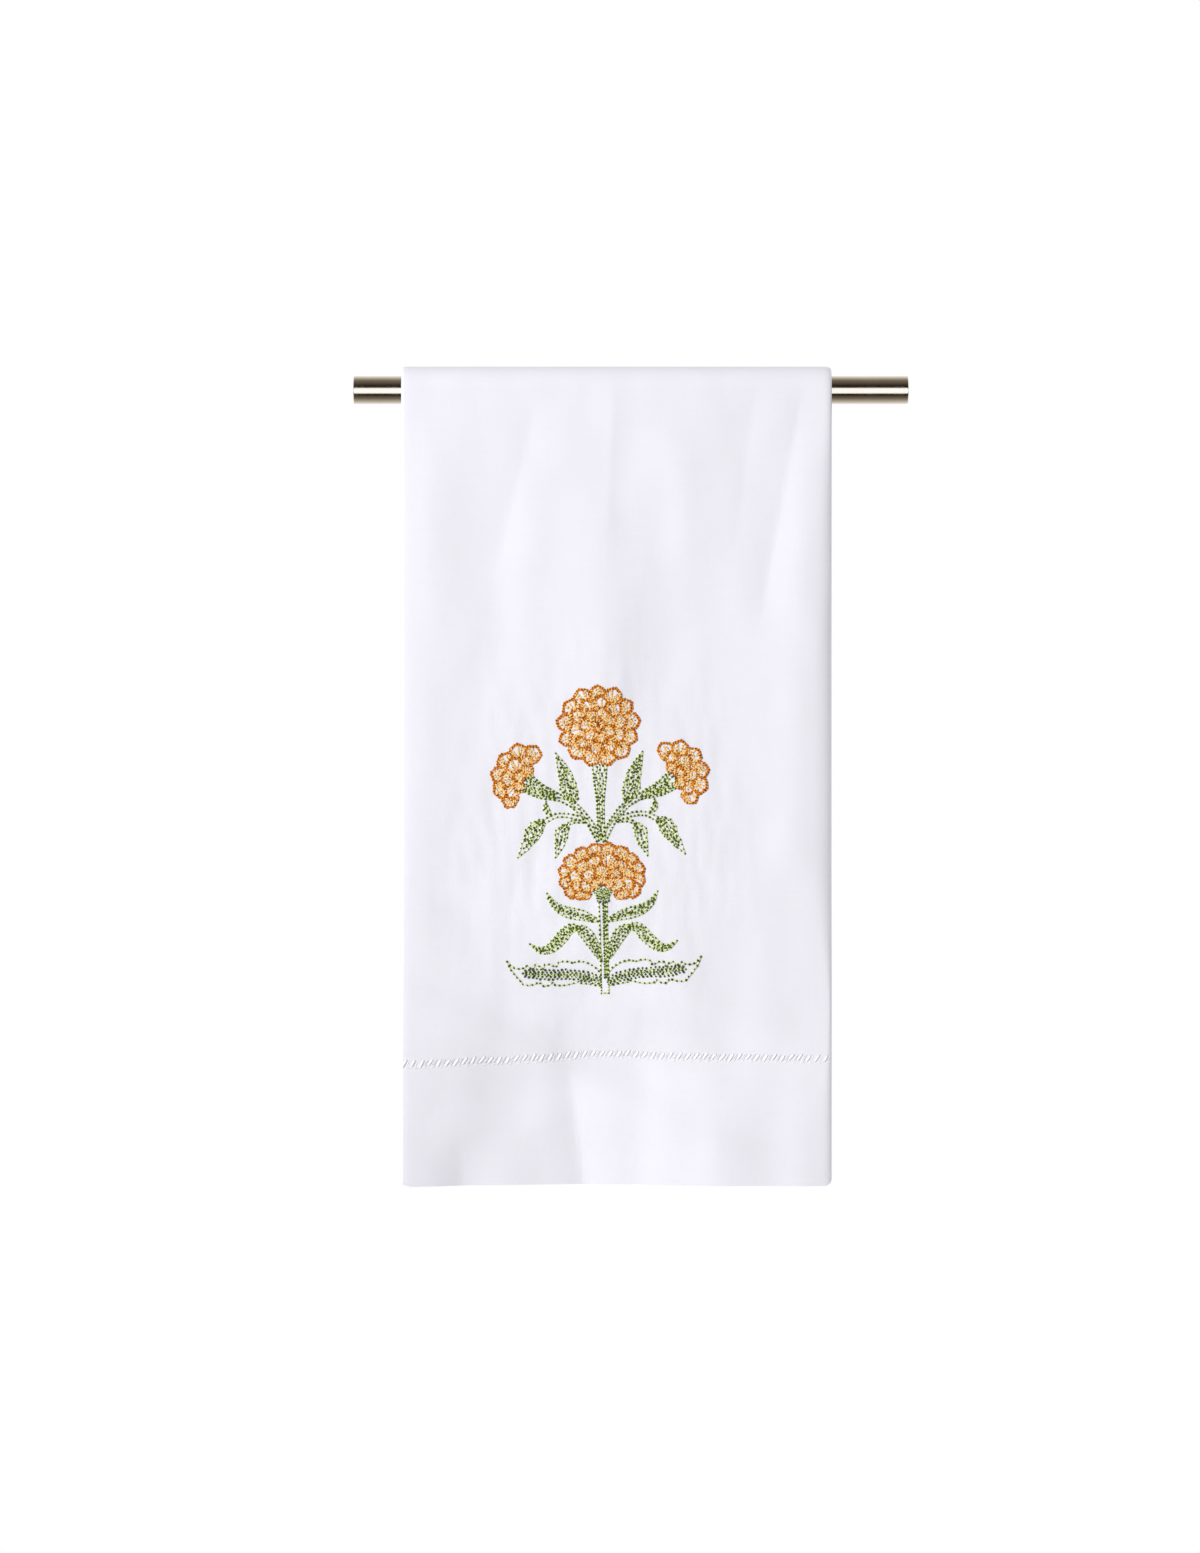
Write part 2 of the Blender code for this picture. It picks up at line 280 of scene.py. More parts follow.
def hang(place, x, depth):
    """A point of the folded section, hung over the bar."""
    radius = REST_RADIUS + depth
    if place.side == "bar":
        front_share = ease(cos(place.angle)) * depth / FACE
        radius += relief("front", x, OUTER_RADIUS * place.angle) * front_share
        return Vector((TOWEL_X + x, -radius * cos(place.angle), radius * sin(place.angle)))
    z = place.z
    loose = ease(-z / LOOSE_BY)
    outwards = radius + relief(place.side, x, z) * (loose + (1 - loose) * depth / FACE)
    into_corner = max(abs(x) - (FACE_WIDTH / 2 - CORNER_RADIUS), 0.0)
    corner = CORNER_RADIUS - sqrt(max(CORNER_RADIUS ** 2 - into_corner ** 2, 0.0))
    lift = max(corner, FLAP_LIFT * clamped((FACE - depth) / LAYER_STEP))
    z += lift * max(1 - (z + DROPS[place.side]) / LIFT_REACH, 0.0)
    if place.side == "back":
        return Vector((TOWEL_X + x, outwards, z))
    return Vector((TOWEL_X + x, -outwards, z + hem_bow(x, z)))


def roll_at(rolls, z):
    """A turned edge's sizes at one height, eased between those of its table."""
    for above, below in zip(rolls, rolls[1:]):
        if z >= below.z:
            share = ease((above.z - z) / (above.z - below.z))
            return Roll(*(a + (b - a) * share for a, b in zip(above, below)))
    return rolls[-1]


def turned_edge(right, place):
    """How far the cloth's turned edge sinks, reaches sideways and reaches back, and the x of its
    middle."""
    roll = roll_at(RIGHT_ROLL if right else LEFT_ROLL, place.z / MM)
    sink = (roll.sink_back if place.side == "back" else roll.sink_front) * MM
    reach = roll.reach * MM
    flap = MIDDLE_FLAP if right else INNER_FLAP
    return sink, reach, (FACE - flap + sink) / 2, FACE_WIDTH / 2 - LAYER / 2 - reach


def section_point(column, place, offset):
    """A point of the folded section, offset from the layers' middle towards the right side of
    the cloth, as (x, depth)."""
    if column.part == "face":
        return column.at, FACE + offset
    right = column.part in ("middle flap", "right turn", "right side")
    flap = MIDDLE_FLAP if right else INNER_FLAP
    sink, reach, half_depth, centre = turned_edge(right, place)
    way = 1 if right else -1
    if column.part in ("middle flap", "inner flap"):
        past_other_flap = way * column.at - FREE_EDGE
        sunk = sink * ease(past_other_flap / (FACE_WIDTH / 2 - FREE_EDGE - SUNK_BY))
        return column.at, flap - sunk - offset
    if column.part in ("right side", "left side"):
        return way * (FACE_END + (centre - FACE_END) * column.at), FACE + offset
    angle = radians(column.at)
    x = way * (centre + (reach + offset) * cos(angle))
    return x, FACE - half_depth + (half_depth + offset) * sin(angle)


def cloth_columns():
    """Columns of the grid, from the middle flap's free edge round to the inner flap's."""
    half_hole = HOLE_WIDTH / 2
    face = []
    for bundle in range(FACE_BUNDLES + 1):
        hole = FACE_END - half_hole - bundle * HEMSTITCH_PITCH
        next_hole = hole - HEMSTITCH_PITCH
        face.append(hole + half_hole)
        if bundle < FACE_BUNDLES:
            gap = hole - half_hole - (next_hole + half_hole)
            face += spaced(hole - half_hole, next_hole + half_hole, gap / BETWEEN_HOLES)[:-1]
    face.append(-face[0])
    flap = spaced(-FREE_EDGE, face[0], FLAP_STEP)
    angles = range(-90, 91, TURN_STEP)
    parts = (("middle flap", flap), ("right turn", angles), ("right side", BESIDE_HOLES[::-1]),
             ("face", face), ("left side", BESIDE_HOLES), ("left turn", angles[::-1]),
             ("inner flap", [-x for x in reversed(flap)]))
    return [Column(part, at) for part, places in parts for at in places]


def fall_rows(side, step):
    """Levels of one fall, from the hem's edge up to the bar, with a row of hemstitch holes."""
    hem_edge = -DROPS[side]
    stitch = hem_edge + HEM_DEPTH
    low = spaced(hem_edge, stitch - HOLE_HEIGHT / 2, step)
    high = spaced(stitch + HOLE_HEIGHT / 2, 0.0, step)
    return [Place(side, z, 0) for z in low + [stitch] + high]


def cloth_rows():
    arc = [Place("bar", 0.0, radians(angle)) for angle in range(ARC_STEP, 180, ARC_STEP)]
    return fall_rows("front", FRONT_STEP) + arc + fall_rows("back", BACK_STEP)[::-1]


def above_hemstitch(place):
    """Height above a fall's hemstitch, or None over the bar."""
    if place.side == "bar":
        return None
    return place.z + DROPS[place.side] - HEM_DEPTH


def thickness(column, place):
    """The cloth is doubled in the hems and along the flaps' free edges."""
    height = above_hemstitch(place)
    if height is not None and height < 0:
        return HEM_CLOTH
    free = {"middle flap": column.at + FREE_EDGE, "inner flap": FREE_EDGE - column.at}
    return HEM_CLOTH if free.get(column.part, 1) < SIDE_HEM else CLOTH


def hole_slant(place):
    """Sideways shift that gives the hemstitch holes their slant."""
    height = above_hemstitch(place)
    if height is None:
        return 0.0
    return HOLE_LEAN * height * exp(-(height / HOLE_HEIGHT) ** 4)


def is_hole(column, next_column, place, next_place):
    """Whether a cell is an opening of the hemstitch: on the face, as narrow as a hole and
    beside the row's middle, with a little to spare."""
    if column.part != "face" or next_column.part != "face":
        return False
    narrow = abs(column.at - next_column.at) < 1.01 * HOLE_WIDTH
    heights = [above_hemstitch(place), above_hemstitch(next_place)]
    return narrow and None not in heights and max(map(abs, heights)) < 0.51 * HOLE_HEIGHT


def running_lengths(points):
    lengths = [0.0]
    for before, after in zip(points, points[1:]):
        lengths.append(lengths[-1] + (Vector(after) - Vector(before)).length)
    return lengths


def build_cloth(linen):
    columns = cloth_columns()
    rows = cloth_rows()
    hanging = Place("front", -FRONT_DROP / 2, 0)
    across = running_lengths([section_point(column, hanging, 0) for column in columns])
    along = running_lengths([hang(row, 0, FACE) for row in rows])

    bm = bmesh.new()
    cells = (len(columns) - 1, len(rows) - 1)
    spread = Matrix.Diagonal((*cells, 1, 1)) @ Matrix.Translation((0.5, 0.5, 0))
    bmesh.ops.create_grid(bm, x_segments=cells[0], y_segments=cells[1], size=0.5, matrix=spread)
    holes = []
    for face in bm.faces:
        middle = face.calc_center_median()
        column, row = int(middle.x), int(middle.y)
        if is_hole(*columns[column:column + 2], *rows[row:row + 2]):
            holes.append(face)
    bmesh.ops.delete(bm, geom=holes, context="FACES")

    uv = bm.loops.layers.uv.new("cut_cloth")
    for face in bm.faces:
        for loop in face.loops:
            column, row = round(loop.vert.co.x), round(loop.vert.co.y)
            loop[uv].uv = (across[column], along[row])
    second = bmesh.ops.extrude_face_region(bm, geom=bm.faces[:])
    moved = [item for item in second["geom"] if isinstance(item, bmesh.types.BMVert)]
    bmesh.ops.translate(bm, verts=moved, vec=(0, 0, 1))

    for vert in bm.verts:
        number, row_number, right_side = (round(value) for value in vert.co)
        column, place = columns[number], rows[row_number]
        offset = LAYER / 2 - (0 if right_side else thickness(column, place))
        x, depth = section_point(column, place, offset)
        if column.part == "face":
            x += hole_slant(place)
        vert.co = hang(place, x, depth)
    bmesh.ops.recalc_face_normals(bm, faces=bm.faces)
    if bm.calc_volume(signed=True) < 0:
        bmesh.ops.reverse_faces(bm, faces=bm.faces)
    return add_piece("linen_cloth", bm, linen)


def add_object(name, data):
    made = bpy.data.objects.new(name, data)
    bpy.context.collection.objects.link(made)
    return made


def add_piece(name, bm, material, smooth_angle=70):
    mesh = bpy.data.meshes.new(name)
    bm.to_mesh(mesh)
    bm.free()
    mesh.shade_smooth()
    mesh.set_sharp_from_angle(angle=radians(smooth_angle))
    mesh.materials.append(material)
    return add_object(name, mesh)


# ---- thread laid on the cloth

Stitch = namedtuple("Stitch", "x z angle length width tint")

THREAD_FLATNESS = 0.6  # of a stitch: its height for its width
THREAD_SUNK = 0.25  # of its height, into the cloth
NEARBY = 0.3 * MM  # from a point to those that give its directions

# The hemstitch: the wraps round a bundle and the small stitch at its foot, with how far to the
# right they lie, their length and their width.
Wrap = namedtuple("Wrap", "shift length width")
WRAPS = (Wrap(-0.5, 3.8, 0.85), Wrap(0.9, 2.2, 0.35))
WRAP_LEAN = (46, 62)  # degrees
WRAP_STRETCH = (0.85, 1.1)
WRAP_STRAY = 0.4  # up or down
FOOT_WRAP = Wrap(0.5, 1.5, 0.4)
FOOT_WRAP_LEAN = 8
FOOT_WRAP_DROP = 1.8


def outer_depth(place, x):
    """The depth of the outer face in the folded section, which turns in at the edges."""
    sink, reach, half_depth, centre = turned_edge(x > 0, place)
    along_turn = clamped((abs(x) - centre) / (reach + LAYER / 2))
    return FACE - half_depth + (half_depth + LAYER / 2) * sqrt(1 - along_turn ** 2)


def face_of_cloth(side, x, z):
    """A point on the cloth's outer face, with its directions outwards, to the right and up."""
    def point(x, z):
        place = Place(side, z, 0)
        return hang(place, x, outer_depth(place, x))

    here = point(x, z)
    right = point(x + NEARBY, z) - here
    up = point(x, z + NEARBY) - here
    outward = right.cross(up).normalized()
    if side == "back":
        outward = -outward
    return here, outward, right.normalized(), up.normalized()


def one_stitch(material):
    """A blunt spindle from -1 to 1 along X, which keeps each point's place on the stitch."""
    bm = bmesh.new()
    bmesh.ops.create_uvsphere(bm, u_segments=5, v_segments=4, radius=1,
                              matrix=Matrix.Rotation(pi / 2, 4, "Y"))
    on_stitch = bm.verts.layers.float_vector.new("on_stitch")
    for vert in bm.verts:
        fuller = max(hypot(vert.co.y, vert.co.z), 0.01) ** -0.5
        vert.co = Vector((vert.co.x, vert.co.y * fuller, vert.co.z * fuller))
        vert[on_stitch] = vert.co
    return add_piece("one_stitch", bm, material, 180)


def lay_on_points(template):
    """A node group that sets the template on every point, turned and sized by its attributes."""
    group = bpy.data.node_groups.new("lay stitches", "GeometryNodeTree")
    for way in ("INPUT", "OUTPUT"):
        group.interface.new_socket("Geometry", in_out=way, socket_type="NodeSocketGeometry")
    points = add_node(group, "NodeGroupInput")
    stitch = add_node(group, "GeometryNodeObjectInfo", {"Object": template})
    turn, size = (add_node(group, "GeometryNodeInputNamedAttribute", {"Name": name},
                           data_type="FLOAT_VECTOR").outputs["Attribute"]
                  for name in ("turn", "size"))
    turned = add_node(group, "FunctionNodeEulerToRotation", {"Euler": turn})
    laid = add_node(group, "GeometryNodeInstanceOnPoints",
                    {"Points": points.outputs[0], "Instance": stitch.outputs["Geometry"],
                     "Rotation": turned.outputs[0], "Scale": size})
    real = add_node(group, "GeometryNodeRealizeInstances", {0: laid.outputs[0]})
    add_node(group, "NodeGroupOutput", {0: real.outputs[0]})
    return group


def sew(name, side, stitches, material):
    """Lays all the stitches of one thread on the cloth, as one mesh."""
    bm = bmesh.new()
    turn = bm.verts.layers.float_vector.new("turn")
    size = bm.verts.layers.float_vector.new("size")
    tint = bm.verts.layers.float.new("tint")
    for stitch in stitches:
        here, outward, right, up = face_of_cloth(side, stitch.x, stitch.z)
        way = right * cos(stitch.angle) + up * sin(stitch.angle)
        way = (way - outward * way.dot(outward)).normalized()
        height = stitch.width * THREAD_FLATNESS
        point = bm.verts.new(here + outward * height * (0.5 - THREAD_SUNK))
        basis = Matrix((way, outward.cross(way), outward)).transposed()
        point[turn] = Vector(basis.to_euler())
        point[size] = Vector((stitch.length / 2, stitch.width / 2, height / 2))
        point[tint] = stitch.tint
    points = add_piece(name + "_points", bm, material)
    template = one_stitch(material)
    laying = points.modifiers.new("lay stitches", "NODES")
    laying.node_group = lay_on_points(template)
    depsgraph = bpy.context.evaluated_depsgraph_get()
    mesh = bpy.data.meshes.new_from_object(points.evaluated_get(depsgraph))
    mesh.name = name
    for used in ("turn", "size"):
        mesh.attributes.remove(mesh.attributes[used])
    for used in (points, template):
        bpy.data.objects.remove(used, do_unlink=True)
    return add_object(name, mesh)


def hemstitch(side):
    """Slanted wraps beside the drawn-thread holes, from edge to edge of a fall."""
    chance = random.Random(5)
    stitches = []

    def add(wrap, x, z, lean, stretch=1.0):
        stitches.append(Stitch(x + wrap.shift * MM, z, radians(lean), stretch * wrap.length * MM,
                               wrap.width * MM, chance.random()))

    middle = -DROPS[side] + HEM_DEPTH
    for bundle in range(-WRAPPED_TURN, FACE_BUNDLES + WRAPPED_TURN):
        x = (bundle + 0.5 - FACE_BUNDLES / 2) * HEMSTITCH_PITCH
        for wrap in WRAPS:
            z = middle + chance.uniform(-WRAP_STRAY, WRAP_STRAY) * MM
            add(wrap, x, z, chance.uniform(*WRAP_LEAN), chance.uniform(*WRAP_STRETCH))
        add(FOOT_WRAP, x, middle - FOOT_WRAP_DROP * MM, FOOT_WRAP_LEAN)
    return stitches


# ---- drawing the flowers
# The spray is drawn upright in its own millimetres, from the fork of its upper stems.  It is
# then set on the towel, leaning a little.  Whatever stands at its sides is drawn at the right.

FORK = Vector((-6.3, -187.5))
SPRAY_LEAN = radians(1.34)
needle = random.Random(11)

# How a line is stitched: the stitches' length, how far they stray and their width, and the size
# and the turn of the dips where they meet, which are painted dark as their shade.
Sewing = namedtuple("Sewing", "length stray width dip turn", defaults=(1.95, 0.0, 0.7, 1.0, 0.0))
PLAIN = Sewing()
DENSE = Sewing(1.2, 0.1)
FILLING = Sewing(1.7, 0.8, turn=1.2)
STITCH_TINTS = (0.65, 1.0)  # a stitch's tint, at random; on the ramp, 0 is the darkest painted shade and 1 the palest thread
DIP_WIDTH = 0.9
DIP_LENGTH = 1.08
DIP_SIZES = (0.8, 1.15)
# The dips' tints pick the ramp's dark stops: painted shade where the thread goes into the cloth.
DIP_SHADE_TINTS = (0.0, 0.3)
FILL_STRETCH = (0.85, 1.1)
FILL_SHORTER = 0.2  # how much of a row may be left out at its end
FILL_NARROW = 0.7  # of the way out to a row: where a shape is narrower, it lacks it

Drawn = namedtuple("Drawn", "point angle length width tint")


def heading(angle):
    return Vector((cos(angle), sin(angle)))


def stitch_between(start, end, width):
    way = end - start
    tint = needle.uniform(*STITCH_TINTS)
    return Drawn((start + end) / 2, atan2(way.y, way.x), way.length, width, tint)


def dip(point, angle, size=1.0):
    """A dip of painted shade where the thread goes through the cloth."""
    size *= needle.uniform(*DIP_SIZES)
    tint = needle.uniform(*DIP_SHADE_TINTS)
    return Drawn(point, angle, DIP_LENGTH * size, DIP_WIDTH * size, tint)


def smooth_through(places, steps=10):
    knots = [Vector((*place, 0)) for place in places]
    ends = [2 * knots[0] - knots[1]] + knots + [2 * knots[-1] - knots[-2]]
    line = []
    for i in range(1, len(ends) - 2):
        before, start, end, after = ends[i - 1:i + 3]
        first = start + (end - before) / 6
        second = end - (after - start) / 6
        line += interpolate_bezier(start, first, second, end, steps + 1)[:-1]
    return [point.xy for point in line + [knots[-1]]]


def even_points(line, pitch):
    """Points about a pitch apart along a line, with both of its ends."""
    lengths = running_lengths(line)
    points = []
    part = 0
    for length in spaced(0.0, lengths[-1], pitch):
        while part < len(line) - 2 and lengths[part + 1] < length:
            part += 1
        share = (length - lengths[part]) / max(lengths[part + 1] - lengths[part], 1e-6)
        points.append(line[part].lerp(line[part + 1], min(share, 1.0)))
    return points


def beside(line, offsets):
    """The line moved to its left, by an offset for each of its points."""
    moved = []
    for i, point in enumerate(line):
        way = (line[min(i + 1, len(line) - 1)] - line[max(i - 1, 0)]).normalized()
        moved.append(point + Vector((-way.y, way.x)) * offsets[i])
    return moved


def run(line, sewing):
    """Running stitches along a line, end to end, with a dip of painted shade where they meet."""
    points = []
    for point in even_points(line, sewing.length):
        way = heading(needle.uniform(0, 2 * pi))
        points.append(point + way * needle.uniform(0, sewing.stray))
    stitches = [stitch_between(*pair, sewing.width) for pair in zip(points, points[1:])]
    angles = [one.angle + needle.uniform(-sewing.turn, sewing.turn) for one in stitches]
    return stitches + [dip(*pair, sewing.dip) for pair in zip(points, angles + angles[-1:])]


def stretched(sewing, low, high):
    return sewing._replace(length=sewing.length * needle.uniform(low, high))


def fill(middle, half_widths, rows):
    """Rows of straying stitches between the two edges of a shape, fewer where it is narrow."""
    widest = max(half_widths)
    stitches = []
    for row in range(rows):
        share = 2 * (row + 1) / (rows + 1) - 1
        least = abs(share) * FILL_NARROW * widest
        wide = [i for i, width in enumerate(half_widths) if width > least]
        left_out = round(needle.uniform(0, FILL_SHORTER) * len(wide))
        part = slice(wide[0], wide[-1] + 1 - left_out)
        offsets = [share * width for width in half_widths[part]]
        stitches += run(beside(middle[part], offsets), stretched(FILLING, *FILL_STRETCH))
    return stitches


# Leaves: their midrib, greatest width, where along the midrib that is, the teeth on an edge,
# the rows of stitches that fill them, and how much of their length is filled.
Leaf = namedtuple("Leaf", "midrib width widest teeth rows filled")
LEAVES = (
    Leaf(((10.6, 16.4), (12.6, 21.5), (14.6, 29), (17.9, 37)), 7.2, 0.36, 5, 5, 0.94),
    Leaf(((23.6, 9.1), (26.8, 6.2), (29.6, 1.6), (34.5, -5.6)), 7.0, 0.40, 4, 5, 0.88),
    Leaf(((13.9, 7.3), (16.0, 4.4), (16.9, 0.4), (19.0, -5.9)), 5.8, 0.42, 3, 3, 0.86),
    Leaf(((20.6, 11.9), (22.0, 13.4), (22.6, 15.0), (22.4, 17.2)), 2.2, 0.45, 0, 1, 0.9),
    Leaf(((2.2, -32.8), (7, -30.6), (11.5, -29.5), (16, -28.1), (20, -25.3), (22.8, -20.8)),
         4.4, 0.42, 0, 3, 0.96),
    Leaf(((1.0, -49.6), (4.2, -42.9), (6.8, -38.4), (9.6, -36), (12.6, -35.2)),
         4.9, 0.5, 0, 3, 1.0),
    Leaf(((9.0, -36.2), (12.4, -35.2), (15.1, -36.5), (17.3, -39.2), (20.2, -42.1),
          (23.2, -44.1), (26.6, -44.2), (30.3, -41.6)), 4.7, 0.45, 0, 4, 0.96),
)
BASE_FULLNESS = 0.6  # of a leaf's outline: lower is fuller
TIP_FULLNESS = 0.95
TEETH_START, TEETH_END = 0.15, 0.95  # along a leaf
TOOTH_DEPTH = 0.26  # of its half width
LEAF_EDGE = Sewing(stray=0.06, dip=0.85)
MIDRIB = Sewing(1.7, 0.3)

# Stems: their middle line, their width at both ends, and the rows of stitches in them.
Stem = namedtuple("Stem", "middle width_start width_end rows")
MIDDLE_STEMS = (
    Stem(((0, 31.5), (0, 24), (0, 17)), 6.0, 2.9, 3),
    Stem(((0, 17), (0, 9), (0, 0.5)), 2.9, 2.5, 2),
)
SIDE_STEMS = (
    Stem(((0.9, 0.8), (4, 7.1), (7.3, 11.7), (10.8, 15.3), (14.6, 17.8), (20, 19.9)),
         2.3, 2.7, 1),
    Stem(((30.6, 25.3), (25.4, 21.9), (21.0, 20.2), (16.6, 18.6)), 7.6, 2.5, 8),
    Stem(((6.2, 9.2), (10.1, 10.5), (14.5, 11.4), (18.8, 11.2), (23.4, 9.0)), 1.5, 1.6, 0),
    Stem(((7.2, 8.8), (10.5, 8.8), (12.6, 8.3), (14.4, 7.0)), 1.1, 1.1, 0),
)
STEM_EDGE = Sewing(1.75, 0.1)
STEM_STRETCH = (0.88, 1.08)

# The wide leaves at the foot: an upper and a lower edge with lobes, and a feathered vein.
FOOT_LEAF_UPPER = ((1.5, -56), (2.7, -53.5), (5.3, -51.3), (8.4, -49.9), (13, -49.6),
                   (20, -51), (28, -51.5), (36.5, -51.5), (40, -48.6))
FOOT_LEAF_LOWER = ((1.8, -60.6), (8, -59.4), (15, -58.6), (25, -58.4), (34, -57.2),
                   (36.6, -54.6), (38.7, -51.9), (40, -48.6))
FOOT_LEAF_VEIN = ((1.5, -59), (5, -57.4), (8.2, -56.1), (15.7, -55), (25, -54.5), (33.6, -53.7))
UPPER_NOTCHES = (13.5, 21.2, 26.6, 31.0, 35.0)  # along each edge, where a lobe ends
LOWER_NOTCHES = (8.0, 19.0, 24.6, 33.0)
LOBE = 2.2  # height of a lobe, which is rounded and ends in a notch
LOBE_TURN = 2.2
LOBE_STEPS = 16
FEATHER = 2.4  # length of the strokes along the vein
FEATHER_STRETCH = (0.85, 1.15)
FEATHER_PITCH = 1.75
FEATHER_LEAN = 56
FEATHER_THREAD = 0.8
FEATHER_DIPS = (0.45, 0.95)  # along a stroke, where dips of painted shade lie
FEATHER_DIP = 1.1
VEIN = Sewing(1.3, 0.25)

# The stem under the dome, with a light gap on its left and a filled right half, and its foot.
LOWER_STEM = ((-1.5, -25), (-1.4, -57.5)), ((0.2, -25), (0.2, -57)), ((1.7, -25), (1.6, -57.5))
STEM_CORE = Sewing(1.2, 0.08)
STEM_FILLING = Sewing(1.7, 0.45)
STEM_FOOT = (-1.4, -60.2), (-1.4, -64), (1.6, -64), (1.6, -60.2)
FOOT_EDGE = Sewing(1.4, dip=0.75)
CALYX = (0.2, -25.6)
CALYX_RAYS = 11
CALYX_REACH = 8.0
CALYX_START = 0.4  # along its rays
CALYX_FAN = (54, 126)  # degrees
CALYX_LOBES = 3
CALYX_SCALLOP = 0.16
TUFT = Sewing(1.2, 0.25, dip=0.8, turn=0.8)
CALYX_CUP = (2.6, 4.4, 5.4)  # over its foot: the middle's height, its length and its width

# Blooms: rings of petals from the inside outwards.  A ring's petals stand round its centre at
# its reach along the bloom's heading and across it, as far as its spread to either side.
Ring = namedtuple("Ring", "centre out across heading spread count length width")
TOP_BLOOM = (
    Ring((0, 48.3), 1.5, 1.5, 90, 180, 4, 3.4, 3.0),
    Ring((0, 48.2), 4.8, 4.8, 100, 180, 7, 6.4, 5.3),
    Ring((0, 48.1), 8.8, 8.8, 82, 180, 10, 7.2, 6.4),
    Ring((0, 48.0), 13.4, 13.4, 104, 180, 13, 7.3, 7.1),
)
DOME_BLOOM = (
    Ring((0, -17.6), 1.8, 3.0, 90, 80, 3, 5.0, 4.2),
    Ring((0, -16.4), 4.4, 6.4, 90, 106, 5, 6.4, 6.0),
    Ring((0, -21.6), 0.0, 8.1, 90, 90, 2, 7.8, 4.6),
    Ring((0, -14.9), 7.0, 10.7, 90, 112, 8, 6.8, 6.6),
    Ring((0, -14.2), 10.9, 15.0, 90, 122, 12, 6.4, 6.7),
)
SIDE_BLOOM = (
    Ring((31.2, 26.6), 2.0, 3.6, 27, 80, 3, 5.4, 5.0),
    Ring((32.3, 27.5), 5.0, 6.6, 27, 80, 4, 6.8, 6.4),
    Ring((32.4, 27.7), 9.0, 10.3, 27, 90, 6, 7.2, 7.3),
)
PETAL_SIZES = (0.89, 1.11)
PETAL_LINES = (  # of a petal's edge: how far in they lie
    (0.0, Sewing(1.25, 0.1, dip=0.8, turn=0.6)),
    (0.55, Sewing(1.25, 0.2, dip=0.8, turn=0.6)),
)
PETAL_RIM = range(-150, 151, 10)  # degrees round its middle, open at its foot
PETAL_LOBES = 6
PETAL_SCALLOP = 0.15
SCALLOP_LEVEL = 0.8
PETAL_SWAY = radians(9)  # how far a petal may turn from straight outwards
PETAL_FOOT = 0.42  # of its length, inwards from its middle
PETALS_APART = 9  # from here on, two petals can't overlap
PETAL_RAYS = 12
LIGHT_RAY = Sewing(1.3, 0.35, 0.8, 0.62, 0.8)
ORANGE_RAY = Sewing(1.3, 0.3, dip=0.8, turn=0.8)
RAY_FAN = radians(64)
RAY_SWAY = 0.15
RAY_REACH = (0.6, 0.9)  # of the petal's length
RAY_START = (0.15, 0.55)  # of its reach
EYE = 3.8  # the round bloom's middle: how far across, and the turns of its dips of painted shade
EYE_DIPS = (0.3, 1.6, 2.8, 4.1, 5.3)
EYE_DIPS_OUT = 0.8


def leaf(shape):
    """Both edges of a leaf, with teeth, its midrib, and the threads that fill it."""
    midrib = smooth_through(shape.midrib)
    last = len(midrib) - 1
    half = []
    edge = []
    for i in range(last + 1):
        share = i / last
        if share < shape.widest:
            swell, fullness = share / shape.widest, BASE_FULLNESS
        else:
            swell, fullness = (1 - share) / (1 - shape.widest), TIP_FULLNESS
        half.append(shape.width / 2 * sin(pi / 2 * swell) ** fullness)
        toothed = TEETH_START < share < TEETH_END
        tooth = TOOTH_DEPTH * (share * shape.teeth % 1.0) if toothed else 0.0
        edge.append(half[-1] * (1 - tooth))
    stitches = []
    for way in (1, -1):
        stitches += run(beside(midrib, [way * width for width in edge]), LEAF_EDGE)
    end = round(last * shape.filled)
    stitches += run(midrib[:end], MIDRIB)
    return stitches + fill(midrib[:end], half[:end], shape.rows)


def stem(shape):
    """Two lines of running stitches side by side, with rows of straying thread between."""
    middle = smooth_through(shape.middle)
    last = len(middle) - 1
    wider = shape.width_end - shape.width_start
    half = [(shape.width_start + wider * i / last) / 2 for i in range(last + 1)]
    stitches = []
    for way in (-1, 1):
        edge = beside(middle, [way * width for width in half])
        stitches += run(edge, stretched(STEM_EDGE, *STEM_STRETCH))
    return stitches + fill(middle, half, shape.rows)


def foot_leaf():
    """A lobed edge above and below, and short strokes that lean outwards along the vein."""
    stitches = []
    for edge, notches, way in ((FOOT_LEAF_UPPER, UPPER_NOTCHES, 1),
                               (FOOT_LEAF_LOWER, LOWER_NOTCHES, -1)):
        line = smooth_through(edge, LOBE_STEPS)
        lobes = []
        for length in running_lengths(line):
            lobe = 0.0
            for start, end in zip(notches, notches[1:]):
                if start <= length < end:
                    lobe = sin(LOBE_TURN * (length - start) / (end - start)) - 0.5
            lobes.append(way * LOBE * lobe)
        stitches += run(beside(line, lobes), PLAIN)
    vein = even_points(smooth_through(FOOT_LEAF_VEIN), FEATHER_PITCH)
    for number, (point, after) in enumerate(zip(vein, vein[1:])):
        way = atan2(after.y - point.y, after.x - point.x)
        taper = 1 - ease(3 * number / len(vein) - 2) / 2  # in the last third
        for side in (-1, 1):
            angle = way + side * radians(FEATHER_LEAN)
            tip = point + heading(angle) * FEATHER * taper * needle.uniform(*FEATHER_STRETCH)
            stitches.append(stitch_between(point, tip, FEATHER_THREAD))
            # Dips of painted shade along each stroke.
            stitches += [dip(point.lerp(tip, share), angle, FEATHER_DIP)
                         for share in FEATHER_DIPS]
    return stitches + run(vein, VEIN)


def lower_stem():
    left, middle, right = ([Vector(end) for end in line] for line in LOWER_STEM)
    filling = [(start + end) / 2 for start, end in zip(middle, right)]
    stitches = run(left, PLAIN) + run(middle, STEM_CORE) + run(right, PLAIN)
    stitches += run(filling, STEM_FILLING)
    corners = [Vector(corner) for corner in STEM_FOOT]
    for side in zip(corners, corners[1:]):
        stitches += run(side, FOOT_EDGE)
    return stitches


